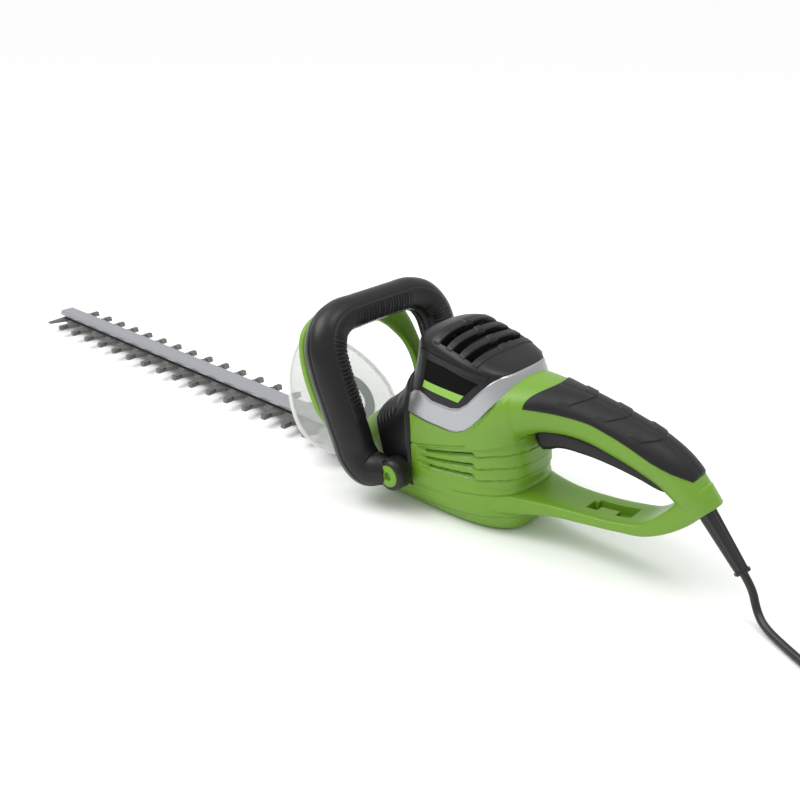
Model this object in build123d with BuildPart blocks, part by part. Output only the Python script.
from build123d import *
import math
import os

# Corded hedge trimmer with two reciprocating blades, in millimetres.
# X runs along the tool with the blades towards -X, Y runs across it, Z is up.
# The origin lies on the flat rest face under the belly, below the motor axis.

# ---------------------------------------------------------------- driving sizes
# Cutting gear
TEETH_PER_SIDE = 16
TOOTH_PITCH = 30.0
TOOTH_REACH = 32.0          # blade centreline to the tip of a tooth head
REAR_TOOTH_X = -190.0       # rearmost tooth on the left side
BLADE_THICKNESS = 2.2
BLADE_GAP = 0.15            # between the two blades
SPINE_HALF_WIDTH = 11.0
BLADE_LOW_Z = 9.6           # underside of the lower blade
BLADE_STROKE = 7.5          # each way from the middle
RAIL_HALF_WIDTH = 9.5
RAIL_HEIGHT = 5.7
RAIL_WALL = 2.4
ROOT_PLATE_HALF_WIDTH = 35.0
ROOT_PLATE_THICKNESS = 3.0
RAIL_LIFT = 2.3             # rail above the blades, taken up by the bushes

# Housing
WALL = 2.6
GRIP_WALL = 5.0             # housing wall under the soft grip
SOFT_GRIP_DEPTH = 2.2
BODY_HALF_WIDTH = 46.0
BELLY_HALF_WIDTH = 40.0
BELLY_FRONT_X = -100.0
BARREL_REAR_X = 58.0
NOSE_FRONT_X = -122.0
NOSE_HALF_WIDTH = 38.0
NOSE_TOP_Z = 50.0
CAP_TOP_Z = 166.0
CAP_FRONT_X = -52.0
CAP_REAR_X = 38.0
BAR_HALF_WIDTH = 20.5
GRIP_TOP_Z = 135.0
TAIL_RADIUS = 13.0
TAIL_X = 198.0              # centre of the tail's end face
TAIL_Z = 68.0
TAIL_TILT = 48.8            # the tail's axis below the horizontal, degrees
SCREW_RADIUS = 1.75
SCREW_HEAD_RADIUS = 3.5
SCREW_HEAD_DEPTH = 3.0
BOSS_RADIUS = 4.2
TAIL_LENGTH = 24.0
VENT_LENGTH = 54.0
VENT_HEIGHT = 5.0
BADGE_THICKNESS = 0.8

# Front handle, its collar and the switch bar
HANDLE_RADIUS = 17.0
HANDLE_WALL = 3.0
HANDLE_HALF_WIDTH = 71.0    # tube centreline
HANDLE_TOP_Z = 153.0
HANDLE_FOOT_Z = 36.0
HANDLE_X_AT_FLOOR = -66.3   # where the handle's plane meets z = 0
HANDLE_LEAN = 20.8          # forwards, degrees
HANDLE_CORNER_RADIUS = 36.0
COLLAR_THICKNESS = 3.5
BOLT_X = -47.0
BOLT_Z = 34.0
BOLT_RADIUS = 3.0
LUG_RADIUS = 14.0
LUG_OUTER_Y = 66.0
BOLT_CAP_RADIUS = 8.5
CAP_POCKET_DEPTH = 7.0
BAR_PIVOT_X = -109.0
BAR_PIVOT_Z = 38.0
BAR_SHAFT_RADIUS = 3.0
BAR_LEAN = 25.4             # switch bar's plane, degrees forwards
BAR_PLATE_THICKNESS = 8.0
FINGER_REACH = 9.0          # pivot of the switch bar to the front plunger

# Hand guard
GUARD_THICKNESS = 3.0
GUARD_X = -166.5
GUARD_Z = 46.4
GUARD_LEAN = 40.0
GUARD_SCREW_X = -134.0
GUARD_SCREW_Y = 25.0

# Drive
MOTOR_CLEARANCE = 7.4       # stator to the inside of the housing
STATOR_LOW_Z = 52.0
STATOR_LENGTH = 44.0
AIR_GAP = 0.6
ROTOR_RADIUS = 21.0
COIL_OVERHANG = 3.8
FAN_RADIUS = 34.0
FAN_LOW_Z = 36.5
FAN_HEIGHT = 10.0
COMMUTATOR_RADIUS = 12.0
SHAFT_RADIUS = 4.0
RUNNING_CLEARANCE = 0.05    # radial, shafts and pins in their holes
GEAR_MODULE = 0.6
PINION_TEETH = 17
GEAR_TEETH = 79
GEAR_LOW_Z = 17.2
GEAR_WIDTH = 8.0
BACKLASH = 0.12
PRESSURE_ANGLE = 20.0
GEAR_SHAFT_RADIUS = 4.0
ECCENTRIC_RADIUS = 12.0
YOKE_CLEARANCE = 0.4
YOKE_WALL = 4.5
CASE_WALL = 3.0
CASE_HALF_WIDTH = 31.5
CASE_FRONT_X = -96.0
CASE_REAR_X = 24.0
CASE_TOP_Z = 28.0
COVER_THICKNESS = 4.0
BEARING_WIDTH = 7.0
BEARING_RADIUS = 11.0
BUSH_RADIUS = 8.0
PINION_BORE = 2.5

# Trigger
TRIGGER_HALF_WIDTH = 9.0
TRIGGER_PIVOT_X = 172.0
TRIGGER_PIVOT_Z = 80.0
TRIGGER_PIN_RADIUS = 2.0
PLUNGER_X = 97.0
PLUNGER_RADIUS = 2.5
SWITCH_LOW_Z = 102.5

# Mains lead
CORD_RADIUS = 3.0
BOOT_LENGTH = 47.5
BOOT_DEPTH = 14.0
BOOT_ROOT_RADIUS = 7.0
BOOT_END_RADIUS = 5.0
PLUG_LENGTH = 40.0
PIN_LENGTH = 19.0
PIN_SPACING = 19.0
PIN_RADIUS = 2.4

# ---------------------------------------------------------------- derived places
PIECE_GAP = 0.3             # between pieces that only stand beside each other
UPPER_BLADE_Z = BLADE_LOW_Z + BLADE_THICKNESS + BLADE_GAP
BLADES_TOP_Z = UPPER_BLADE_Z + BLADE_THICKNESS
RAIL_Z = BLADES_TOP_Z + RAIL_LIFT
FRONT_TOOTH_X = REAR_TOOTH_X - (TEETH_PER_SIDE - 1) * TOOTH_PITCH
RAIL_TIP_X = FRONT_TOOTH_X - 1.15 * TOOTH_PITCH
ROOT_PLATE_FRONT_X = REAR_TOOTH_X + 14.0
CENTRE_DISTANCE = GEAR_MODULE * (PINION_TEETH + GEAR_TEETH) / 2
GEAR_X = -CENTRE_DISTANCE
STATOR_RADIUS = BODY_HALF_WIDTH - WALL - MOTOR_CLEARANCE
STATOR_TOP_Z = STATOR_LOW_Z + STATOR_LENGTH
CASE_FLOOR_Z = WALL
CASE_INSIDE_Z = CASE_FLOOR_Z + CASE_WALL
COVER_TOP_Z = CASE_TOP_Z + COVER_THICKNESS
BRIDGE_Z = STATOR_TOP_Z + 24.0
COMMUTATOR_Z = STATOR_TOP_Z + 5.0
RAIL_SCREWS = [REAR_TOOTH_X - 15 - 110 * k for k in range(4)] + [FRONT_TOOTH_X]
ROOT_SCREWS = [(CASE_FRONT_X + 5.5, 22.0), (CASE_FRONT_X + 20, 22.0)]
CASE_SCREWS = [(-56.0, 27.2), (18.0, 27.2)]
TAIL_AXIS = Vector(math.cos(math.radians(TAIL_TILT)), 0, -math.sin(math.radians(TAIL_TILT)))
TAIL_CENTRE = Vector(TAIL_X, 0, TAIL_Z)
BOOT_END = TAIL_CENTRE + TAIL_AXIS * BOOT_LENGTH


def leaning_x(x_at_floor, lean, z):
    """X of a plane that leans forwards from x_at_floor, at height z."""
    return x_at_floor - math.tan(math.radians(lean)) * z


def handle_x(z):
    return leaning_x(HANDLE_X_AT_FLOOR, HANDLE_LEAN, z)


def upright_plane(x, z, lean):
    """Plane across the tool: local x is world Y, local y runs up and forwards by lean."""
    tilt = math.radians(lean)
    return Plane(origin=(x, 0, z), x_dir=(0, 1, 0), z_dir=(math.cos(tilt), 0, math.sin(tilt)))


# ---------------------------------------------------------------- housing volumes
# Each volume is drawn from a side outline, a plan outline and, for the barrel, an end outline.
BARREL_SIDE = [
    (BELLY_FRONT_X, 0), (BARREL_REAR_X - 4, 0), (BARREL_REAR_X, 10), (BARREL_REAR_X, 62),
    (BARREL_REAR_X - 6, 100), (BARREL_REAR_X - 11, GRIP_TOP_Z), (CAP_REAR_X, CAP_TOP_Z - 19),
    (CAP_REAR_X - 8, CAP_TOP_Z - 13), (-8, CAP_TOP_Z), (CAP_FRONT_X + 20, CAP_TOP_Z - 3),
    (CAP_FRONT_X + 5, CAP_TOP_Z - 15), (CAP_FRONT_X, CAP_TOP_Z - 28), (CAP_FRONT_X - 4, 100),
    (-77, 80), (NOSE_FRONT_X + 5, NOSE_TOP_Z), (NOSE_FRONT_X, NOSE_TOP_Z - 6), (NOSE_FRONT_X, 6),
]
GRIP_SIDE = [
    (30, GRIP_TOP_Z - 2), (68, GRIP_TOP_Z), (94, GRIP_TOP_Z - 2), (129, GRIP_TOP_Z - 8),
    (164, GRIP_TOP_Z - 20), (190, GRIP_TOP_Z - 36), (TAIL_X + 5, TAIL_Z + 19), (TAIL_X + 9.8, TAIL_Z + 8.6),
    (TAIL_X - 9.8, TAIL_Z - 8.6), (176, 62), (172, 72), (158, 84), (143, 90), (103, 97), (66, 95), (30, 92),
]
LOWER_BAR_SIDE = [
    (30, 22), (80, 26), (125, 32), (165, 42), (184, 53), (TAIL_X - 8, 61), (176, 74), (172, 64),
    (162, 51), (125, 42), (90, 38), (30, 37),
]
# The trim band lies between these two lines in side view, the motor cap above the upper one.
BAND_LOW_LINE = [
    (NOSE_FRONT_X - 20, 75), (-80, 75), (-60, 80), (-45, 86), (4, 86), (15, 91), (26, 104), (40, 123),
    (BARREL_REAR_X + 10, GRIP_TOP_Z + 3),
]
BAND_HIGH_LINE = [
    (NOSE_FRONT_X - 20, 88), (-73, 88), (-50, 99), (-35, 107), (-20, 104), (8, 104), (15, 111),
    (27, 127), (36, 141), (BARREL_REAR_X + 10, CAP_TOP_Z - 5),
]
SOFT_GRIP_SIDE = [
    (60, 119), (75, 119), (100, 115), (130, 109), (150, 101), (162, 95), (180, 92), (193, 96),
    (215, 120), (150, 170), (70, 170), (70, 136),
]


def side_slab(outline, inset=0.0, low_y=-100.0, high_y=100.0):
    """Side outline made a slab between low_y and high_y."""
    with BuildPart() as slab:
        with BuildSketch(Plane.XZ.offset(-high_y)):
            with BuildLine():
                Polyline(*outline, close=True)
            make_face()
            if inset:
                offset(amount=-inset)
        extrude(amount=high_y - low_y)
    return slab.part


def plan_slab(outline, inset=0.0, top_z=220.0):
    """Half a plan outline, given on the +Y side, mirrored and made an upright prism."""
    with BuildPart() as slab:
        with BuildSketch(Plane.XY.offset(-5)):
            with BuildLine():
                Polyline(*outline, *[(x, -y) for x, y in reversed(outline)], close=True)
            make_face()
            if inset:
                offset(amount=-inset)
        extrude(amount=top_z)
    return slab.part


def barrel_volume(inset=0.0):
    """Belly, nose, barrel and cap as one solid, drawn in by inset."""
    with BuildPart() as volume:
        add(side_slab(BARREL_SIDE, inset))
        with BuildSketch(Plane.XY.offset(-5)):
            with BuildLine():
                half = [(NOSE_FRONT_X, NOSE_HALF_WIDTH - 12), (NOSE_FRONT_X + 12, NOSE_HALF_WIDTH),
                        (-78, BODY_HALF_WIDTH), (BARREL_REAR_X - BODY_HALF_WIDTH, BODY_HALF_WIDTH)]
                Polyline(*half)
                Polyline(*[(x, -y) for x, y in half])
                Line((half[0][0], half[0][1]), (half[0][0], -half[0][1]))
                ThreePointArc(half[-1], (BARREL_REAR_X, 0), (half[-1][0], -half[-1][1]))
            make_face()
            if inset:
                offset(amount=-inset)
        extrude(amount=220, mode=Mode.INTERSECT)
        with BuildSketch(Plane.YZ.offset(-200)):
            half = [(BELLY_HALF_WIDTH - 7, 0), (BELLY_HALF_WIDTH, 7), (BODY_HALF_WIDTH, 26),
                    (BODY_HALF_WIDTH, 92), (BODY_HALF_WIDTH - 3, 112), (BODY_HALF_WIDTH - 5, 140),
                    (BODY_HALF_WIDTH - 16, 160), (BODY_HALF_WIDTH - 26, CAP_TOP_Z)]
            with BuildLine():
                Polyline(*half, *[(-y, z) for y, z in reversed(half)], close=True)
            make_face()
            if inset:
                offset(amount=-inset)
        extrude(amount=400, mode=Mode.INTERSECT)
    return volume.part


def grip_volume(inset=0.0):
    """Upper limb of the rear handle with its tail, drawn in by inset."""
    plan = [(30, 42), (60, 34), (84, 23), (110, BAR_HALF_WIDTH), (160, BAR_HALF_WIDTH),
            (180, 17), (TAIL_X - 6, TAIL_RADIUS), (TAIL_X + 14, TAIL_RADIUS)]
    with BuildPart() as volume:
        add(side_slab(GRIP_SIDE, inset))
        add(plan_slab(plan, inset), mode=Mode.INTERSECT)
    return volume.part


def lower_bar_volume():
    """Lower limb of the rear handle."""
    plan = [(30, 34), (56, 30), (72, 23), (100, BAR_HALF_WIDTH), (160, BAR_HALF_WIDTH),
            (180, 17), (TAIL_X - 6, TAIL_RADIUS), (TAIL_X + 14, TAIL_RADIUS)]
    with BuildPart() as volume:
        add(side_slab(LOWER_BAR_SIDE))
        add(plan_slab(plan), mode=Mode.INTERSECT)
    return volume.part


def rod_across(x, z, radius, low_y, high_y):
    """Round rod along Y."""
    with BuildPart() as rod:
        with BuildSketch(Plane.XZ.offset(-high_y)):
            with Locations((x, z)):
                Circle(radius)
        extrude(amount=high_y - low_y)
    return rod.part


def upright_rod(x, y, low_z, high_z, radius, bore=0.0):
    """Round upright rod or tube."""
    with BuildPart() as rod:
        with BuildSketch(Plane.XY.offset(low_z)):
            with Locations((x, y)):
                Circle(radius)
                if bore:
                    Circle(bore, mode=Mode.SUBTRACT)
        extrude(amount=high_z - low_z)
    return rod.part


def block(low, high):
    """Rectangular block between two corners."""
    with BuildPart() as solid:
        with Locations([((low[0] + high[0]) / 2, (low[1] + high[1]) / 2, (low[2] + high[2]) / 2)]):
            Box(high[0] - low[0], high[1] - low[1], high[2] - low[2])
    return solid.part


barrel_outer = barrel_volume()
barrel_inner = barrel_volume(WALL)
grip_outer = grip_volume()
grip_under_overmould = grip_volume(SOFT_GRIP_DEPTH)
grip_inner = grip_volume(GRIP_WALL)
bar_outer = lower_bar_volume()
above_band = side_slab(BAND_LOW_LINE + [(BARREL_REAR_X + 10, 220), (NOSE_FRONT_X - 20, 220)])
cap_region = side_slab(BAND_HIGH_LINE + [(BARREL_REAR_X + 10, 220), (NOSE_FRONT_X - 20, 220)])
soft_grip_region = side_slab(SOFT_GRIP_SIDE)

# Places of the screws that join the two housing halves, (x, z, half width there): through
# bosses in the hollow parts, and straight through the solid lower bar and tail.
BOSS_SCREWS = [(-98, NOSE_TOP_Z + 1, NOSE_HALF_WIDTH + 3), (-58, 66, BODY_HALF_WIDTH),
               (BARREL_REAR_X - 8, 104, BODY_HALF_WIDTH - 10), (134, GRIP_TOP_Z - 31.6, BAR_HALF_WIDTH)]
SOLID_SCREWS = [(88, 32, BAR_HALF_WIDTH), (158, 45, BAR_HALF_WIDTH), (183, 66, BAR_HALF_WIDTH - 4.5)]
HOUSING_SCREWS = BOSS_SCREWS + SOLID_SCREWS
VENT_ROWS = [46.0, 55.0, 64.0]
CAP_SLOTS = [-21.0, -4.5, 12.0]

slot_low_z = BLADE_LOW_Z - 1.4
slot_high_z = RAIL_Z + ROOT_PLATE_THICKNESS + 0.4
blade_mouth = block((NOSE_FRONT_X - 5, -29, slot_low_z), (BELLY_FRONT_X, 29, slot_high_z))
trigger_slot_side = [(BARREL_REAR_X - 1, 70), (TRIGGER_PIVOT_X + 5, 70), (TRIGGER_PIVOT_X + 5, 88),
                     (143, 97), (120, 104), (103, 108), (BARREL_REAR_X - 1, 108)]
trigger_slot = side_slab(trigger_slot_side, 0, -TRIGGER_HALF_WIDTH - 0.5, TRIGGER_HALF_WIDTH + 0.5)

hollow = barrel_inner + (grip_inner - above_band)
shelf = (barrel_inner & block((-70, -60, STATOR_LOW_Z - WALL), (70, 60, STATOR_LOW_Z)))
shelf = shelf - upright_rod(0, 0, 0, 100, STATOR_RADIUS - 1.5)

# Both halves before they are parted: outer skin, cavity, screw bosses and openings.
with BuildPart() as housing_whole:
    add(barrel_outer)
    add(grip_outer)
    with BuildSketch(Plane(origin=TAIL_CENTRE - TAIL_AXIS * TAIL_LENGTH, z_dir=TAIL_AXIS)):
        Circle(TAIL_RADIUS)
    extrude(amount=TAIL_LENGTH)
    add(soft_grip_region & (grip_outer - grip_under_overmould), mode=Mode.SUBTRACT)
    add(above_band, mode=Mode.SUBTRACT)
    add(barrel_inner, mode=Mode.SUBTRACT)
    add(grip_inner - above_band, mode=Mode.SUBTRACT)
    add(bar_outer - barrel_inner)
    add(shelf)
    for x, z, half_width in BOSS_SCREWS:
        add(rod_across(x, z, BOSS_RADIUS, -60, 60) & hollow)
    # Bearing walls for the trigger pin inside the grip.
    add(rod_across(TRIGGER_PIVOT_X, TRIGGER_PIVOT_Z, 5, -60, 60) & grip_inner)
    add(trigger_slot, mode=Mode.SUBTRACT)
    add(rod_across(TRIGGER_PIVOT_X, TRIGGER_PIVOT_Z, TRIGGER_PIN_RADIUS, -13, 13), mode=Mode.SUBTRACT)
    for x, z, half_width in HOUSING_SCREWS:
        add(rod_across(x, z, SCREW_RADIUS, 6 - half_width, half_width), mode=Mode.SUBTRACT)
        add(rod_across(x, z, SCREW_HEAD_RADIUS + 0.1, half_width - SCREW_HEAD_DEPTH, 70),
            mode=Mode.SUBTRACT)
    add(blade_mouth, mode=Mode.SUBTRACT)
    add(rod_across(BAR_PIVOT_X, BAR_PIVOT_Z, BAR_SHAFT_RADIUS + RUNNING_CLEARANCE, -70, 70),
        mode=Mode.SUBTRACT)
    # Side vents: three long slots on each side of the barrel.
    with BuildSketch(Plane.XZ):
        for row_z in VENT_ROWS:
            with Locations((0, row_z)):
                SlotOverall(VENT_LENGTH, VENT_HEIGHT)
    extrude(amount=70, both=True, mode=Mode.SUBTRACT)
    # Socket for the cord boot.
    with BuildSketch(Plane(origin=TAIL_CENTRE - TAIL_AXIS * BOOT_DEPTH, z_dir=TAIL_AXIS)):
        Circle(BOOT_ROOT_RADIUS)
    extrude(amount=40, mode=Mode.SUBTRACT)
    # Retainer slot that holds a loop of extension lead.
    with BuildSketch(Plane.XY.offset(20)):
        with Locations((126, 2)):
            Rectangle(30, 10)
        with Locations((112, -1)):
            Circle(6)
        with Locations((139, -2)):
            Rectangle(12, 16)
    extrude(amount=34, mode=Mode.SUBTRACT)
    # Bolt holes for the front handle.
    add(rod_across(BOLT_X, BOLT_Z, BOLT_RADIUS, -70, 70), mode=Mode.SUBTRACT)

with BuildPart() as housing_left:
    add(housing_whole.part)
    split(bisect_by=Plane.XZ, keep=Keep.TOP)

with BuildPart() as housing_right:
    add(housing_whole.part)
    split(bisect_by=Plane.XZ, keep=Keep.BOTTOM)

with BuildPart() as housing_screws:
    for x, z, half_width in HOUSING_SCREWS:
        add(rod_across(x, z, SCREW_RADIUS, 6.5 - half_width, half_width - SCREW_HEAD_DEPTH))
        add(rod_across(x, z, SCREW_HEAD_RADIUS, half_width - SCREW_HEAD_DEPTH,
                       half_width - SCREW_HEAD_DEPTH + 2.4))

# ---------------------------------------------------------------- trim band, cap and badges
with BuildPart() as band_whole:
    add((barrel_outer & above_band) - cap_region)
    add(barrel_inner, mode=Mode.SUBTRACT)

with BuildPart() as trim_band_left:
    add(band_whole.part)
    split(bisect_by=Plane.XZ, keep=Keep.TOP)

with BuildPart() as trim_band_right:
    add(band_whole.part)
    split(bisect_by=Plane.XZ, keep=Keep.BOTTOM)

badge_side = side_slab([(-30, 115), (-26, 140), (21, 133), (6, 113)])
badge_skin = (barrel_outer - barrel_volume(BADGE_THICKNESS)) & badge_side
with BuildPart() as badge_plates:
    add(badge_skin)

with BuildPart() as cap_whole:
    add((barrel_outer & cap_region) - barrel_inner)
    add(badge_skin, mode=Mode.SUBTRACT)
    # Air slots across the top.
    with BuildSketch(Plane.XY.offset(CAP_TOP_Z - 40)):
        for slot_x in CAP_SLOTS:
            with Locations((slot_x, 0)):
                SlotOverall(60, 7, rotation=90)
    extrude(amount=60, mode=Mode.SUBTRACT)

with BuildPart() as motor_cap_left:
    add(cap_whole.part)
    split(bisect_by=Plane.XZ, keep=Keep.TOP)

with BuildPart() as motor_cap_right:
    add(cap_whole.part)
    split(bisect_by=Plane.XZ, keep=Keep.BOTTOM)

# ---------------------------------------------------------------- soft grip of the rear handle
with BuildPart() as grip_whole:
    add(soft_grip_region & (grip_outer - grip_under_overmould))
    add(above_band, mode=Mode.SUBTRACT)

with BuildPart() as soft_grip_left:
    add(grip_whole.part)
    split(bisect_by=Plane.XZ, keep=Keep.TOP)

with BuildPart() as soft_grip_right:
    add(grip_whole.part)
    split(bisect_by=Plane.XZ, keep=Keep.BOTTOM)

# ---------------------------------------------------------------- front handle
handle_plane = upright_plane(HANDLE_X_AT_FLOOR, 0, HANDLE_LEAN)
foot_half_width = HANDLE_HALF_WIDTH - 5
lug_middle_y = (LUG_OUTER_Y + BODY_HALF_WIDTH + COLLAR_THICKNESS + PIECE_GAP) / 2
lug_half_width = LUG_OUTER_Y - lug_middle_y


def handle_point(y, z):
    """Point of the handle's leaning middle plane."""
    return (handle_x(z), y, z)


def handle_form(radius, neck_radius):
    """Bow of the front handle with both feet, down to the bolt lugs."""
    with BuildPart() as form:
        with BuildLine() as bow:
            FilletPolyline(
                handle_point(-foot_half_width, HANDLE_FOOT_Z), handle_point(-HANDLE_HALF_WIDTH, HANDLE_TOP_Z),
                handle_point(HANDLE_HALF_WIDTH, HANDLE_TOP_Z), handle_point(foot_half_width, HANDLE_FOOT_Z),
                radius=HANDLE_CORNER_RADIUS)
        with BuildSketch(Plane(origin=bow.line @ 0, z_dir=bow.line % 0)):
            Circle(radius)
        sweep()
        for side in (-1, 1):
            foot = Vector(*handle_point(side * foot_half_width, HANDLE_FOOT_Z))
            lug = Vector(BOLT_X - LUG_RADIUS / 2, side * lug_middle_y, BOLT_Z)
            with Locations(foot):
                Sphere(radius)
            with BuildSketch(Plane(origin=foot, z_dir=lug - foot)):
                Circle(radius - 1)
            with BuildSketch(Plane(origin=lug, z_dir=lug - foot)):
                Circle(neck_radius)
            loft()
    return form.part


handle_envelope = handle_form(HANDLE_RADIUS, lug_half_width)
with BuildPart() as handle_whole:
    add(handle_envelope)
    for side in (-1, 1):
        near, far = sorted((side * (lug_middle_y - lug_half_width), side * LUG_OUTER_Y))
        add(rod_across(BOLT_X, BOLT_Z, LUG_RADIUS, near, far))
    add(handle_form(HANDLE_RADIUS - HANDLE_WALL, lug_half_width - HANDLE_WALL), mode=Mode.SUBTRACT)
    for side in (-1, 1):
        near, far = sorted((side * (LUG_OUTER_Y - CAP_POCKET_DEPTH), side * (LUG_OUTER_Y + 20)))
        add(rod_across(BOLT_X, BOLT_Z, BOLT_CAP_RADIUS, near, far), mode=Mode.SUBTRACT)
    add(rod_across(BOLT_X, BOLT_Z, BOLT_RADIUS, -90, 90), mode=Mode.SUBTRACT)

with BuildPart() as front_handle_front:
    add(handle_whole.part)
    split(bisect_by=handle_plane, keep=Keep.BOTTOM)

with BuildPart() as front_handle_rear:
    add(handle_whole.part)
    split(bisect_by=handle_plane, keep=Keep.TOP)

strip_low, strip_high, strip_back = 55, 190, 12.5
strip_region = side_slab([
    (handle_x(strip_low) + strip_back, strip_low), (handle_x(strip_low) + 60, strip_low),
    (handle_x(strip_high) + 60, strip_high), (handle_x(strip_high) + strip_back, strip_high)])
with BuildPart() as handle_grip_strip:
    add((handle_form(HANDLE_RADIUS + 1, lug_half_width) - handle_envelope) & strip_region)

COLLAR_SIDE = [(-38, 20), (-39, 36), (-49, 50), (-54, 60), (-56, 72), (-79, 87), (-96, 76), (-93, 66),
               (-88, 56), (-84, 46), (-72, 34), (-64, 20)]
with BuildPart() as handle_collar:
    add(barrel_volume(-COLLAR_THICKNESS) & side_slab(COLLAR_SIDE))
    add(rod_across(BOLT_X, BOLT_Z, LUG_RADIUS, -BODY_HALF_WIDTH - COLLAR_THICKNESS,
                   BODY_HALF_WIDTH + COLLAR_THICKNESS))
    add(barrel_outer, mode=Mode.SUBTRACT)
    add(handle_envelope, mode=Mode.SUBTRACT)
    add(rod_across(BOLT_X, BOLT_Z, BOLT_RADIUS, -90, 90), mode=Mode.SUBTRACT)

bolt_head_y = LUG_OUTER_Y - CAP_POCKET_DEPTH
nut_y = BODY_HALF_WIDTH - WALL - 0.4


def hexagon_across(x, z, radius, low_y, high_y):
    """Hexagonal prism along Y."""
    with BuildPart() as prism:
        with BuildSketch(Plane.XZ.offset(-high_y)):
            with Locations((x, z)):
                RegularPolygon(radius, 6)
        extrude(amount=high_y - low_y)
    return prism.part


with BuildPart() as handle_bolts:
    add(rod_across(BOLT_X, BOLT_Z, BOLT_RADIUS, nut_y - 7, bolt_head_y))
    add(hexagon_across(BOLT_X, BOLT_Z, 5.5, bolt_head_y, bolt_head_y + 3))
    mirror(about=Plane.XZ)

with BuildPart() as bolt_caps:
    add(rod_across(BOLT_X, BOLT_Z, BOLT_CAP_RADIUS, bolt_head_y + 3, LUG_OUTER_Y))
    add(rod_across(BOLT_X, BOLT_Z, 3.4, LUG_OUTER_Y - 1.6, LUG_OUTER_Y + 5), mode=Mode.SUBTRACT)
    mirror(about=Plane.XZ)

with BuildPart() as handle_nuts:
    add(hexagon_across(BOLT_X, BOLT_Z, 5.8, nut_y - 5, nut_y))
    add(rod_across(BOLT_X, BOLT_Z, BOLT_RADIUS, 0, 90), mode=Mode.SUBTRACT)
    mirror(about=Plane.XZ)

# ---------------------------------------------------------------- switch bar of the front handle
bar_plane = upright_plane(BAR_PIVOT_X, BAR_PIVOT_Z, BAR_LEAN)
BAR_OUTER = [(41, -6), (52, -6), (70, 24), (78, 52), (78, 84), (74, 100), (62, 111), (44, 115)]
BAR_INNER = [(41, 6), (50, 12), (57, 26), (62, 43), (60, 54), (52, 68), (48, 80), (40, 90), (24, 97.5)]
with BuildPart() as switch_bar:
    with BuildSketch(bar_plane.offset(-BAR_PLATE_THICKNESS / 2)):
        with BuildLine():
            Polyline(*BAR_OUTER, *[(-y, v) for y, v in reversed(BAR_OUTER)],
                     *[(-y, v) for y, v in BAR_INNER], *reversed(BAR_INNER), close=True)
        make_face()
    extrude(amount=BAR_PLATE_THICKNESS)
    add(rod_across(BAR_PIVOT_X, BAR_PIVOT_Z, BAR_SHAFT_RADIUS, -90, 90), mode=Mode.SUBTRACT)

plunger_gap = 0.4
finger_low_z = BAR_PIVOT_Z - 2
front_plunger_x = BAR_PIVOT_X + FINGER_REACH
with BuildPart() as switch_bar_shaft:
    add(rod_across(BAR_PIVOT_X, BAR_PIVOT_Z, BAR_SHAFT_RADIUS, -51, 51))
    add(block((BAR_PIVOT_X, -4, finger_low_z), (front_plunger_x + 2.5, 4, BAR_PIVOT_Z + 2)))


def coil_spring(x, low_z, high_z, radius, wire_radius, turns):
    """Compression spring standing upright on the middle plane."""
    rise = high_z - low_z - 2 * wire_radius
    with BuildPart() as spring:
        with BuildLine() as path:
            Helix(pitch=rise / turns, height=rise, radius=radius, center=(x, 0, low_z + wire_radius))
        with BuildSketch(Plane(origin=path.line @ 0, z_dir=path.line % 0)):
            Circle(wire_radius)
        sweep()
    return spring.part


def switch_box(low, high, plunger_x, bore, pocket_low_z, pocket_high_z):
    """Switch body with the guide hole of its plunger."""
    with BuildPart() as box:
        add(block(low, high))
        add(upright_rod(plunger_x, 0, pocket_low_z, pocket_high_z, bore), mode=Mode.SUBTRACT)
    return box.part


front_top_z, front_low_z = BAR_PIVOT_Z - 7, RAIL_Z + ROOT_PLATE_THICKNESS + 0.6
with BuildPart() as front_switch:
    add(switch_box((front_plunger_x - 12, -8, front_low_z), (front_plunger_x + 3.5, 8, front_top_z),
                   front_plunger_x, 2 + RUNNING_CLEARANCE, front_low_z + 1, front_top_z + 1))
with BuildPart() as front_plunger:
    add(upright_rod(front_plunger_x, 0, front_top_z - 4, finger_low_z - plunger_gap, 2))
with BuildPart() as front_spring:
    add(coil_spring(front_plunger_x, front_low_z + 1, front_top_z - 4, 1.4, 0.25, 5))

# ---------------------------------------------------------------- hand guard
guard_plane = upright_plane(GUARD_X, GUARD_Z, GUARD_LEAN)
GUARD_OUTLINE = [(0, 68), (12, 66.5), (22, 61.5), (34, 51), (44, 38.6), (52, 24), (57.5, 9), (60, -6),
                 (58.5, -18), (54, -28), (45.5, -37), (36, -44), (20, -52), (0, -55)]
rail_top_z = RAIL_Z + RAIL_HEIGHT
flange_z = RAIL_Z + ROOT_PLATE_THICKNESS
with BuildPart() as hand_guard:
    with BuildSketch(guard_plane.offset(-GUARD_THICKNESS / 2)):
        with BuildLine():
            Polyline(*GUARD_OUTLINE, *[(-y, v) for y, v in reversed(GUARD_OUTLINE[1:-1])], close=True)
        make_face()
    extrude(amount=GUARD_THICKNESS)
    add(block((GUARD_X + 16, -34, flange_z), (GUARD_SCREW_X + 7, 34, flange_z + 3)))
    add(block((GUARD_X - 40, -36.5, BLADE_LOW_Z - 2), (GUARD_X + 60, 36.5, flange_z)), mode=Mode.SUBTRACT)
    add(block((GUARD_X - 40, -16, flange_z - 1), (GUARD_X + 60, 16, 30)), mode=Mode.SUBTRACT)
    for side in (-1, 1):
        add(upright_rod(GUARD_SCREW_X, side * GUARD_SCREW_Y, flange_z - 1, flange_z + 5, 2),
            mode=Mode.SUBTRACT)

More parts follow.
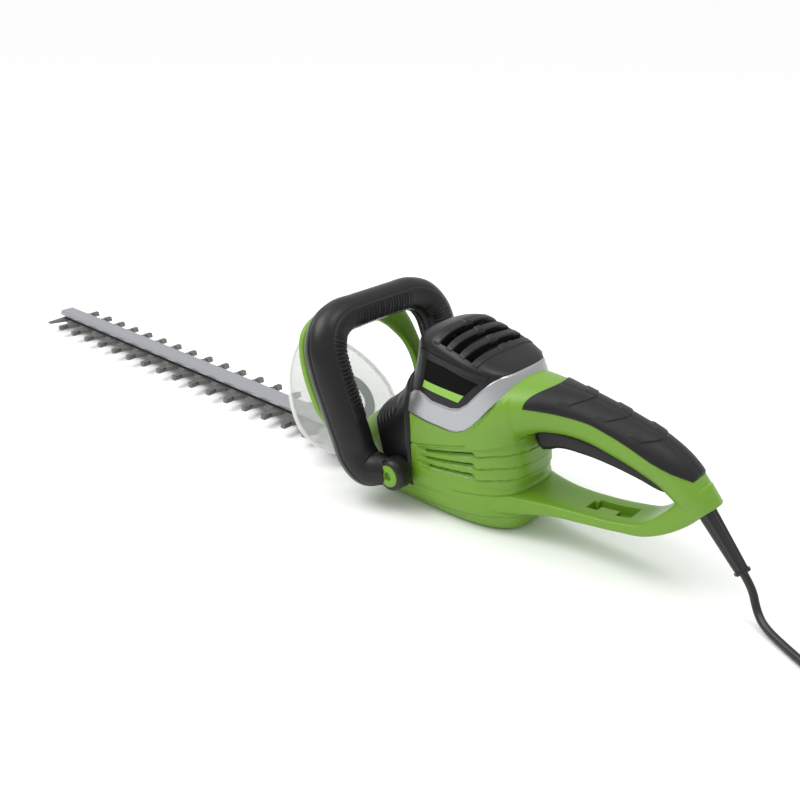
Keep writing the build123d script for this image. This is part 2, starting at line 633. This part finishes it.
with BuildPart() as guard_badge:
    with BuildSketch(guard_plane.offset(GUARD_THICKNESS / 2)):
        with Locations((6, -4)):
            Circle(27)
            Circle(16, mode=Mode.SUBTRACT)
        with Locations((43, -4)):
            Rectangle(60, 80, mode=Mode.INTERSECT)
    extrude(amount=0.6)

with BuildPart() as guard_screws:
    for side in (-1, 1):
        add(upright_rod(GUARD_SCREW_X, side * GUARD_SCREW_Y, RAIL_Z, flange_z + 3, 2))
        add(upright_rod(GUARD_SCREW_X, side * GUARD_SCREW_Y, flange_z + 3, flange_z + 5.4, 4))

# ---------------------------------------------------------------- guide rail and blades
with BuildPart() as guide_rail:
    with BuildSketch(Plane.YZ.offset(RAIL_TIP_X)):
        with BuildLine():
            half = [(RAIL_HALF_WIDTH, RAIL_Z), (RAIL_HALF_WIDTH, RAIL_Z + 2.6),
                    (RAIL_HALF_WIDTH - 2, rail_top_z)]
            Polyline(*half, *[(-y, z) for y, z in reversed(half)], close=True)
        make_face()
    extrude(amount=NOSE_FRONT_X - 4 - RAIL_TIP_X)
    add(block((RAIL_TIP_X + 4, RAIL_WALL - RAIL_HALF_WIDTH, RAIL_Z),
              (ROOT_PLATE_FRONT_X, RAIL_HALF_WIDTH - RAIL_WALL, rail_top_z - RAIL_WALL)), mode=Mode.SUBTRACT)
    for x in RAIL_SCREWS:
        add(upright_rod(x, 0, RAIL_Z, rail_top_z - 0.5, 5))
    with BuildSketch(Plane.XY.offset(RAIL_Z)):
        with BuildLine():
            half = [(ROOT_PLATE_FRONT_X, 24), (ROOT_PLATE_FRONT_X + 11, ROOT_PLATE_HALF_WIDTH),
                    (NOSE_FRONT_X - 6, ROOT_PLATE_HALF_WIDTH), (NOSE_FRONT_X - 2, 28), (-64, 28)]
            Polyline(*half, *[(x, -y) for x, y in reversed(half)], close=True)
        make_face()
    extrude(amount=ROOT_PLATE_THICKNESS)
    for x in RAIL_SCREWS:
        add(upright_rod(x, 0, RAIL_Z - 1, rail_top_z - 2, 2.5), mode=Mode.SUBTRACT)
    for side in (-1, 1):
        add(upright_rod(GUARD_SCREW_X, side * GUARD_SCREW_Y, RAIL_Z - 1, flange_z + 1, 2),
            mode=Mode.SUBTRACT)
        for x, y in ROOT_SCREWS:
            add(upright_rod(x, side * y, RAIL_Z - 1, flange_z + 1, 2.5), mode=Mode.SUBTRACT)

with BuildPart() as rail_tip_block:
    add(block((RAIL_TIP_X + 1, -7, BLADES_TOP_Z + PIECE_GAP), (RAIL_TIP_X + 26, 7, RAIL_Z)))

head_top_z = BLADE_LOW_Z - PIECE_GAP
with BuildPart() as rail_bushes:
    for x in RAIL_SCREWS:
        add(upright_rod(x, 0, head_top_z, RAIL_Z, 4, 2.5))
with BuildPart() as rail_screws:
    for x in RAIL_SCREWS:
        add(upright_rod(x, 0, head_top_z, rail_top_z - 2.5, 2.5))
        add(upright_rod(x, 0, head_top_z - 3, head_top_z, 6))
with BuildPart() as root_plate_screws:
    for side in (-1, 1):
        for x, y in ROOT_SCREWS:
            add(upright_rod(x, side * y, CASE_INSIDE_Z + 2.5, flange_z, 2.5))
            add(upright_rod(x, side * y, flange_z, flange_z + 3, 4.5))

yoke_half_length = ECCENTRIC_RADIUS + 2 * BLADE_STROKE + YOKE_CLEARANCE
yoke_half_width = ECCENTRIC_RADIUS + BLADE_STROKE + YOKE_CLEARANCE
spine_front_x = FRONT_TOOTH_X - TOOTH_PITCH + 6


def blade_blank(low_z, reach):
    """Toothed blade with its yoke; the teeth taper out to the given reach."""
    with BuildPart() as blade:
        with BuildSketch(Plane.XY.offset(low_z)):
            with BuildLine():
                left = []
                for k in range(TEETH_PER_SIDE):
                    x = REAR_TOOTH_X - k * TOOTH_PITCH
                    left += [(x + 7, -SPINE_HALF_WIDTH), (x + 3, -reach), (x - 3, -reach),
                             (x - 7, -SPINE_HALF_WIDTH)]
                right = [(x - TOOTH_PITCH / 2, -y) for x, y in left]
                Polyline((GEAR_X, -SPINE_HALF_WIDTH), *left, (spine_front_x, -SPINE_HALF_WIDTH),
                         (spine_front_x, SPINE_HALF_WIDTH), *reversed(right), (GEAR_X, SPINE_HALF_WIDTH),
                         close=True)
            make_face()
            with Locations((GEAR_X, 0)):
                Rectangle(2 * (yoke_half_length + YOKE_WALL), 2 * (yoke_half_width + YOKE_WALL))
                Rectangle(2 * yoke_half_length, 2 * yoke_half_width, mode=Mode.SUBTRACT)
            for x in RAIL_SCREWS:
                with Locations((x, 0)):
                    SlotOverall(2 * (4 + PIECE_GAP + BLADE_STROKE), 2 * (4 + PIECE_GAP), mode=Mode.SUBTRACT)
        extrude(amount=BLADE_THICKNESS)
    return blade.part


taper_reach = TOOTH_REACH - 9.5
tooth_places = [(REAR_TOOTH_X - k * TOOTH_PITCH - side * TOOTH_PITCH / 4 - TOOTH_PITCH / 4, side)
                for k in range(TEETH_PER_SIDE) for side in (-1, 1)]
with BuildPart() as upper_blade:
    add(blade_blank(UPPER_BLADE_Z, taper_reach))
    with BuildSketch(Plane.XY.offset(UPPER_BLADE_Z)):
        with BuildLine():
            Polyline((spine_front_x + 8, 0), (spine_front_x + 8, -SPINE_HALF_WIDTH),
                     (spine_front_x + 1, -TOOTH_REACH + 1), (spine_front_x - 3, -TOOTH_REACH),
                     (spine_front_x - 6, -SPINE_HALF_WIDTH), (spine_front_x - 6, 0), close=True)
        make_face()
    extrude(amount=BLADE_THICKNESS)

with BuildPart() as lower_blade:
    add(blade_blank(BLADE_LOW_Z, taper_reach))
    with BuildSketch(Plane.XY.offset(BLADE_LOW_Z)):
        with Locations([(x, side * (TOOTH_REACH + taper_reach - 1) / 2) for x, side in tooth_places]):
            Rectangle(5, TOOTH_REACH - taper_reach + 1)
    extrude(amount=BLADE_THICKNESS)
    with BuildSketch(Plane.XY.offset(BLADE_LOW_Z)):
        with Locations([(x, side * (TOOTH_REACH - 4.5)) for x, side in tooth_places]):
            RectangleRounded(6, 9, 1.5)
    extrude(amount=BLADES_TOP_Z + 0.3 - BLADE_LOW_Z)

# ---------------------------------------------------------------- gear case and gears
with BuildPart() as gear_case:
    add(block((CASE_FRONT_X, -CASE_HALF_WIDTH, CASE_FLOOR_Z), (CASE_REAR_X, CASE_HALF_WIDTH, CASE_TOP_Z)))
    add(block((CASE_FRONT_X - 1, CASE_WALL - CASE_HALF_WIDTH, CASE_INSIDE_Z),
              (CASE_REAR_X - CASE_WALL, CASE_HALF_WIDTH - CASE_WALL, CASE_TOP_Z + 1)), mode=Mode.SUBTRACT)
    add(block((CASE_FRONT_X - 1, -CASE_HALF_WIDTH - 1, RAIL_Z), (-64, CASE_HALF_WIDTH + 1, CASE_TOP_Z + 1)),
        mode=Mode.SUBTRACT)
    for side in (-1, 1):
        for x, y in ROOT_SCREWS:
            add(upright_rod(x, side * y, CASE_INSIDE_Z - 1, RAIL_Z, 5))
            add(upright_rod(x, side * y, CASE_INSIDE_Z + 2, RAIL_Z + 1, 2.5), mode=Mode.SUBTRACT)
        for x, y in CASE_SCREWS:
            add(upright_rod(x, side * y, CASE_INSIDE_Z - 1, CASE_TOP_Z, 2.4))
            add(upright_rod(x, side * y, CASE_TOP_Z - 14, CASE_TOP_Z + 1, 1.5), mode=Mode.SUBTRACT)
    add(upright_rod(GEAR_X, 0, CASE_FLOOR_Z, BLADE_LOW_Z - 0.4, BUSH_RADIUS + 2))
    add(upright_rod(GEAR_X, 0, CASE_FLOOR_Z + 1, BLADE_LOW_Z, BUSH_RADIUS), mode=Mode.SUBTRACT)

with BuildPart() as gear_cover:
    add(block((-64, -CASE_HALF_WIDTH, CASE_TOP_Z), (CASE_REAR_X, CASE_HALF_WIDTH, COVER_TOP_Z)))
    add(upright_rod(0, 0, CASE_TOP_Z, CASE_TOP_Z + BEARING_WIDTH, BEARING_RADIUS + 3))
    add(upright_rod(0, 0, CASE_TOP_Z - 1, CASE_TOP_Z + BEARING_WIDTH + 1, BEARING_RADIUS), mode=Mode.SUBTRACT)
    add(upright_rod(GEAR_X, 0, CASE_TOP_Z - 1, COVER_TOP_Z + 1, BUSH_RADIUS), mode=Mode.SUBTRACT)
    for side in (-1, 1):
        for x, y in CASE_SCREWS:
            add(upright_rod(x, side * y, CASE_TOP_Z - 1, COVER_TOP_Z + 1, 1.5), mode=Mode.SUBTRACT)

with BuildPart() as gear_case_screws:
    for side in (-1, 1):
        for x, y in CASE_SCREWS:
            add(upright_rod(x, side * y, CASE_TOP_Z - 13, COVER_TOP_Z, 1.5))
            add(upright_rod(x, side * y, COVER_TOP_Z, COVER_TOP_Z + 2.4, 3))

with BuildPart() as gear_bearings:
    add(upright_rod(GEAR_X, 0, CASE_FLOOR_Z + 1, BLADE_LOW_Z - 0.4, BUSH_RADIUS,
                    GEAR_SHAFT_RADIUS + RUNNING_CLEARANCE))
    add(upright_rod(GEAR_X, 0, CASE_TOP_Z, COVER_TOP_Z, BUSH_RADIUS, GEAR_SHAFT_RADIUS + RUNNING_CLEARANCE))

with BuildPart() as gear_shaft:
    add(upright_rod(GEAR_X, 0, CASE_FLOOR_Z + 1.4, COVER_TOP_Z + 1, GEAR_SHAFT_RADIUS))


def involute(angle):
    return math.tan(angle) - angle


def gear_outline(teeth, phase):
    """Outline of a spur gear with involute flanks, its first tooth at the phase angle."""
    pressure = math.radians(PRESSURE_ANGLE)
    pitch_radius = GEAR_MODULE * teeth / 2
    base_radius = pitch_radius * math.cos(pressure)
    root_radius = pitch_radius - 1.25 * GEAR_MODULE
    tip_radius = pitch_radius + GEAR_MODULE
    first = max(root_radius, base_radius + 0.001)
    flank = [first + (tip_radius - first) * k / 3 for k in range(4)]
    half_angles = [math.pi / (2 * teeth) - BACKLASH / (2 * pitch_radius) + involute(pressure)
                   - involute(math.acos(base_radius / radius)) for radius in flank]
    if root_radius < first - 0.01:
        flank.insert(0, root_radius)
        half_angles.insert(0, half_angles[0])
    points = []
    for k in range(teeth):
        middle = phase + 2 * math.pi * k / teeth
        rising = [(r, middle - a) for r, a in zip(flank, half_angles)]
        falling = [(r, middle + a) for r, a in zip(reversed(flank), reversed(half_angles))]
        points += [(r * math.cos(a), r * math.sin(a)) for r, a in rising + falling]
    return points


def spur_gear(x, low_z, height, teeth, phase, bore):
    with BuildPart() as gear:
        with BuildSketch(Plane.XY.offset(low_z)):
            with BuildLine():
                Polyline(*[(x + u, v) for u, v in gear_outline(teeth, phase)], close=True)
            make_face()
            with Locations((x, 0)):
                Circle(bore, mode=Mode.SUBTRACT)
        extrude(amount=height)
    return gear.part


with BuildPart() as drive_gear:
    add(spur_gear(GEAR_X, GEAR_LOW_Z, GEAR_WIDTH, GEAR_TEETH, math.pi / GEAR_TEETH, GEAR_SHAFT_RADIUS))
    # Lightening holes between hub and rim.
    with BuildSketch(Plane.XY.offset(GEAR_LOW_Z)):
        with Locations((GEAR_X, 0)):
            with PolarLocations(14, 6):
                Circle(4)
    extrude(amount=GEAR_WIDTH, mode=Mode.SUBTRACT)
with BuildPart() as drive_pinion:
    add(spur_gear(0, GEAR_LOW_Z - 0.3, GEAR_WIDTH + 0.6, PINION_TEETH, math.pi, PINION_BORE))

with BuildPart() as eccentric_discs:
    for side, low_z in ((-1, BLADE_LOW_Z + 0.1), (1, UPPER_BLADE_Z + 0.1)):
        with BuildSketch(Plane.XY.offset(low_z)):
            with Locations((GEAR_X, side * BLADE_STROKE)):
                Circle(ECCENTRIC_RADIUS)
            with Locations((GEAR_X, 0)):
                Circle(GEAR_SHAFT_RADIUS, mode=Mode.SUBTRACT)
        extrude(amount=BLADE_THICKNESS - 0.2)

# ---------------------------------------------------------------- motor
shaft_step_z = CASE_TOP_Z - 0.5
shaft_top_z = BRIDGE_Z + BEARING_WIDTH + 1
with BuildPart() as armature_shaft:
    add(upright_rod(0, 0, GEAR_LOW_Z - 1.2, shaft_step_z, PINION_BORE))
    add(upright_rod(0, 0, shaft_step_z, shaft_top_z, SHAFT_RADIUS))

with BuildPart() as cooling_fan:
    add(upright_rod(0, 0, FAN_LOW_Z, FAN_LOW_Z + 2, FAN_RADIUS, SHAFT_RADIUS))
    add(upright_rod(0, 0, FAN_LOW_Z, FAN_LOW_Z + FAN_HEIGHT, 9, SHAFT_RADIUS))
    with BuildSketch(Plane.XY.offset(FAN_LOW_Z + 2)):
        with PolarLocations((FAN_RADIUS + 15) / 2, 11):
            Rectangle(FAN_RADIUS - 16, 2)
    extrude(amount=FAN_HEIGHT - 2)

with BuildPart() as rotor_core:
    with BuildSketch(Plane.XY.offset(STATOR_LOW_Z + 1)):
        Circle(ROTOR_RADIUS)
        Circle(SHAFT_RADIUS, mode=Mode.SUBTRACT)
        with PolarLocations(ROTOR_RADIUS - 3, 12):
            Rectangle(8, 2.6, mode=Mode.SUBTRACT)
    extrude(amount=STATOR_LENGTH - 2)

with BuildPart() as commutator:
    add(upright_rod(0, 0, COMMUTATOR_Z, COMMUTATOR_Z + 14, COMMUTATOR_RADIUS, SHAFT_RADIUS))

pole_half_width = 0.8 * ROTOR_RADIUS
coil_outer_radius = STATOR_RADIUS - 5.4
with BuildPart() as motor_stator:
    with BuildSketch(Plane.XY.offset(STATOR_LOW_Z)):
        Circle(STATOR_RADIUS - 5)
        Rectangle(2 * pole_half_width, 2 * STATOR_RADIUS, mode=Mode.INTERSECT)
        Circle(ROTOR_RADIUS + AIR_GAP, mode=Mode.SUBTRACT)
    extrude(amount=STATOR_LENGTH)
    add(upright_rod(0, 0, STATOR_LOW_Z, STATOR_TOP_Z, STATOR_RADIUS, STATOR_RADIUS - 5))

with BuildPart() as field_coils:
    with BuildSketch(Plane.XY.offset(STATOR_LOW_Z - COIL_OVERHANG)):
        Circle(coil_outer_radius)
        Circle(ROTOR_RADIUS + 3 * AIR_GAP, mode=Mode.SUBTRACT)
        with Locations((0, 3 + STATOR_RADIUS / 2)):
            Rectangle(2 * (pole_half_width + 9), STATOR_RADIUS, mode=Mode.INTERSECT)
    extrude(amount=STATOR_LENGTH + 2 * COIL_OVERHANG)
    add(block((-pole_half_width - 0.4, 0, STATOR_LOW_Z - 0.3),
              (pole_half_width + 0.4, STATOR_RADIUS, STATOR_TOP_Z + 0.3)), mode=Mode.SUBTRACT)
    mirror(about=Plane.XZ)

with BuildPart() as motor_bearings:
    for low_z in (CASE_TOP_Z, BRIDGE_Z):
        add(upright_rod(0, 0, low_z, low_z + BEARING_WIDTH, BEARING_RADIUS, SHAFT_RADIUS + RUNNING_CLEARANCE))

post_y = STATOR_RADIUS - 2.5
with BuildPart() as brush_bridge:
    add(block((-9, -post_y - 2.5, BRIDGE_Z), (9, post_y + 2.5, BRIDGE_Z + 4)))
    add(block((-34, -8, BRIDGE_Z), (34, 8, BRIDGE_Z + 4)))
    add(upright_rod(0, 0, BRIDGE_Z, BRIDGE_Z + BEARING_WIDTH, BEARING_RADIUS + 3))
    for side in (-1, 1):
        add(upright_rod(0, side * post_y, STATOR_TOP_Z, BRIDGE_Z, 2.5))
    add(upright_rod(0, 0, BRIDGE_Z - 1, BRIDGE_Z + BEARING_WIDTH + 1, BEARING_RADIUS), mode=Mode.SUBTRACT)

with BuildPart() as brush_holders:
    add(block((14, -6, COMMUTATOR_Z + 2), (34, 6, BRIDGE_Z)))
    add(block((13, -3, COMMUTATOR_Z + 4), (30, 3, COMMUTATOR_Z + 10)), mode=Mode.SUBTRACT)
    mirror(about=Plane.YZ)

with BuildPart() as carbon_brushes:
    add(block((COMMUTATOR_RADIUS + 0.3, -3, COMMUTATOR_Z + 4), (26, 3, COMMUTATOR_Z + 10)))
    mirror(about=Plane.YZ)

# ---------------------------------------------------------------- trigger and switches in the rear handle
TRIGGER_SIDE = [(58.5, 77), (64, 75), (72, 79.5), (101, 81.5), (141, 79), (168, 75.5), (176, 77), (176, 83),
                (170, 85), (143, 89), (103, 98), (64, 95), (58.5, 88)]
trigger_top_z = 95 + 3 * (PLUNGER_X - 64) / (103 - 64)
with BuildPart() as trigger:
    add(side_slab(TRIGGER_SIDE, 0, -TRIGGER_HALF_WIDTH, TRIGGER_HALF_WIDTH))
    add(rod_across(TRIGGER_PIVOT_X, TRIGGER_PIVOT_Z, TRIGGER_PIN_RADIUS + RUNNING_CLEARANCE, -20, 20),
        mode=Mode.SUBTRACT)

with BuildPart() as trigger_pin:
    add(rod_across(TRIGGER_PIVOT_X, TRIGGER_PIVOT_Z, TRIGGER_PIN_RADIUS, -13, 13))

switch_top_z = SWITCH_LOW_Z + 19
with BuildPart() as main_switch:
    add(switch_box((PLUNGER_X - 13, -10, SWITCH_LOW_Z), (PLUNGER_X + 15, 10, switch_top_z),
                   PLUNGER_X, PLUNGER_RADIUS + RUNNING_CLEARANCE, SWITCH_LOW_Z - 1, switch_top_z - 2))
with BuildPart() as main_plunger:
    add(upright_rod(PLUNGER_X, 0, trigger_top_z + plunger_gap, SWITCH_LOW_Z + 5.5, PLUNGER_RADIUS))
with BuildPart() as main_spring:
    add(coil_spring(PLUNGER_X, SWITCH_LOW_Z + 5.5, switch_top_z - 2, 1.8, 0.3, 6))

with BuildPart() as capacitor:
    add(rod_across(148, 106, 5.5, GRIP_WALL - BAR_HALF_WIDTH + 0.1, BAR_HALF_WIDTH - GRIP_WALL - 0.1))

# ---------------------------------------------------------------- mains lead
with BuildPart() as cord_boot:
    with BuildSketch(Plane(origin=TAIL_CENTRE - TAIL_AXIS * BOOT_DEPTH, z_dir=TAIL_AXIS)):
        Circle(BOOT_ROOT_RADIUS)
    extrude(amount=BOOT_DEPTH)
    with BuildSketch(Plane(origin=TAIL_CENTRE, z_dir=TAIL_AXIS)):
        Circle(BOOT_ROOT_RADIUS)
    with BuildSketch(Plane(origin=BOOT_END, z_dir=TAIL_AXIS)):
        Circle(BOOT_END_RADIUS)
    loft()
    with BuildSketch(Plane(origin=BOOT_END - TAIL_AXIS * 2.5, z_dir=TAIL_AXIS)):
        Circle(BOOT_END_RADIUS + 1.3)
    extrude(amount=2.5)

CORD_LIE_Z = CORD_RADIUS + 0.1
CORD_ROUTE = [BOOT_END, BOOT_END + TAIL_AXIS * 12] + [Vector(*point) for point in (
    (243, -3, 11), (252, -10, 4.5), (270, -19.5, CORD_LIE_Z), (300, -35, CORD_LIE_Z),
    (332, -54, CORD_LIE_Z), (364, -62, CORD_LIE_Z), (396, -50, CORD_LIE_Z), (412, -22, CORD_LIE_Z),
    (409, 10, CORD_LIE_Z), (392, 37, 5.5), (364, 48, 9), (336, 57, 9))]


def bend_radii(points):
    """Bend radius at each corner: 0.45 of the shorter run over the tangent of half the turn."""
    radii = []
    for before, corner, after in zip(points, points[1:], points[2:]):
        arriving, leaving = corner - before, after - corner
        half_turn = math.radians(arriving.get_angle(leaving) / 2)
        radii.append(0.45 * min(arriving.length, leaving.length) / math.tan(half_turn))
    return radii


with BuildPart() as cord:
    with BuildLine() as route:
        FilletPolyline(*CORD_ROUTE, radius=bend_radii(CORD_ROUTE))
    with BuildSketch(Plane(origin=route.line @ 0, z_dir=route.line % 0)):
        Circle(CORD_RADIUS)
    sweep()
print("cord length", round(sum(edge.length for edge in route.line.edges()), 1), "volume",
      round(cord.part.volume), "bends", [round(r, 1) for r in bend_radii(CORD_ROUTE)])

plug_start = CORD_ROUTE[-1]
plug_axis = (CORD_ROUTE[-1] - CORD_ROUTE[-2]).normalized()


def plug_plane(distance):
    """Plane across the plug at a distance from the cord; local x lies flat, across the plug."""
    return Plane(origin=plug_start + plug_axis * distance, x_dir=plug_axis.cross(Vector(0, 0, 1)),
                 z_dir=plug_axis)


with BuildPart() as plug:
    with BuildSketch(plug_plane(0)):
        Circle(CORD_RADIUS + 1.5)
    with BuildSketch(plug_plane(18)):
        SlotOverall(26, 13)
    loft()
    with BuildSketch(plug_plane(18)):
        SlotOverall(26, 13)
    with BuildSketch(plug_plane(PLUG_LENGTH)):
        SlotOverall(36, 15)
    loft()

with BuildPart() as plug_pins:
    with BuildSketch(plug_plane(PLUG_LENGTH)):
        with Locations((-PIN_SPACING / 2, 0), (PIN_SPACING / 2, 0)):
            Circle(PIN_RADIUS)
    extrude(amount=PIN_LENGTH)

# ---------------------------------------------------------------- hand over every piece
PIECES = {
    "housing_left": housing_left, "housing_right": housing_right, "housing_screws": housing_screws,
    "trim_band_left": trim_band_left, "trim_band_right": trim_band_right,
    "motor_cap_left": motor_cap_left, "motor_cap_right": motor_cap_right, "badge_plates": badge_plates,
    "soft_grip_left": soft_grip_left, "soft_grip_right": soft_grip_right,
    "front_handle_front": front_handle_front, "front_handle_rear": front_handle_rear,
    "handle_grip_strip": handle_grip_strip, "handle_collar": handle_collar,
    "handle_bolts": handle_bolts, "bolt_caps": bolt_caps, "handle_nuts": handle_nuts,
    "switch_bar": switch_bar, "switch_bar_shaft": switch_bar_shaft,
    "front_switch": front_switch, "front_plunger": front_plunger, "front_spring": front_spring,
    "hand_guard": hand_guard, "guard_badge": guard_badge, "guard_screws": guard_screws,
    "guide_rail": guide_rail, "rail_tip_block": rail_tip_block, "rail_bushes": rail_bushes,
    "rail_screws": rail_screws, "root_plate_screws": root_plate_screws,
    "upper_blade": upper_blade, "lower_blade": lower_blade,
    "gear_case": gear_case, "gear_cover": gear_cover, "gear_case_screws": gear_case_screws,
    "gear_bearings": gear_bearings, "gear_shaft": gear_shaft, "drive_gear": drive_gear,
    "eccentric_discs": eccentric_discs, "drive_pinion": drive_pinion, "armature_shaft": armature_shaft,
    "cooling_fan": cooling_fan, "rotor_core": rotor_core, "commutator": commutator,
    "motor_stator": motor_stator, "field_coils": field_coils, "motor_bearings": motor_bearings,
    "brush_bridge": brush_bridge, "brush_holders": brush_holders, "carbon_brushes": carbon_brushes,
    "trigger": trigger, "trigger_pin": trigger_pin, "main_switch": main_switch,
    "main_plunger": main_plunger, "main_spring": main_spring, "capacitor": capacitor,
    "cord_boot": cord_boot, "cord": cord, "plug": plug, "plug_pins": plug_pins,
}

os.makedirs("parts", exist_ok=True)
for node_name, piece in PIECES.items():
    piece.part.label = node_name
    export_step(piece.part, f"parts/{node_name}.step")
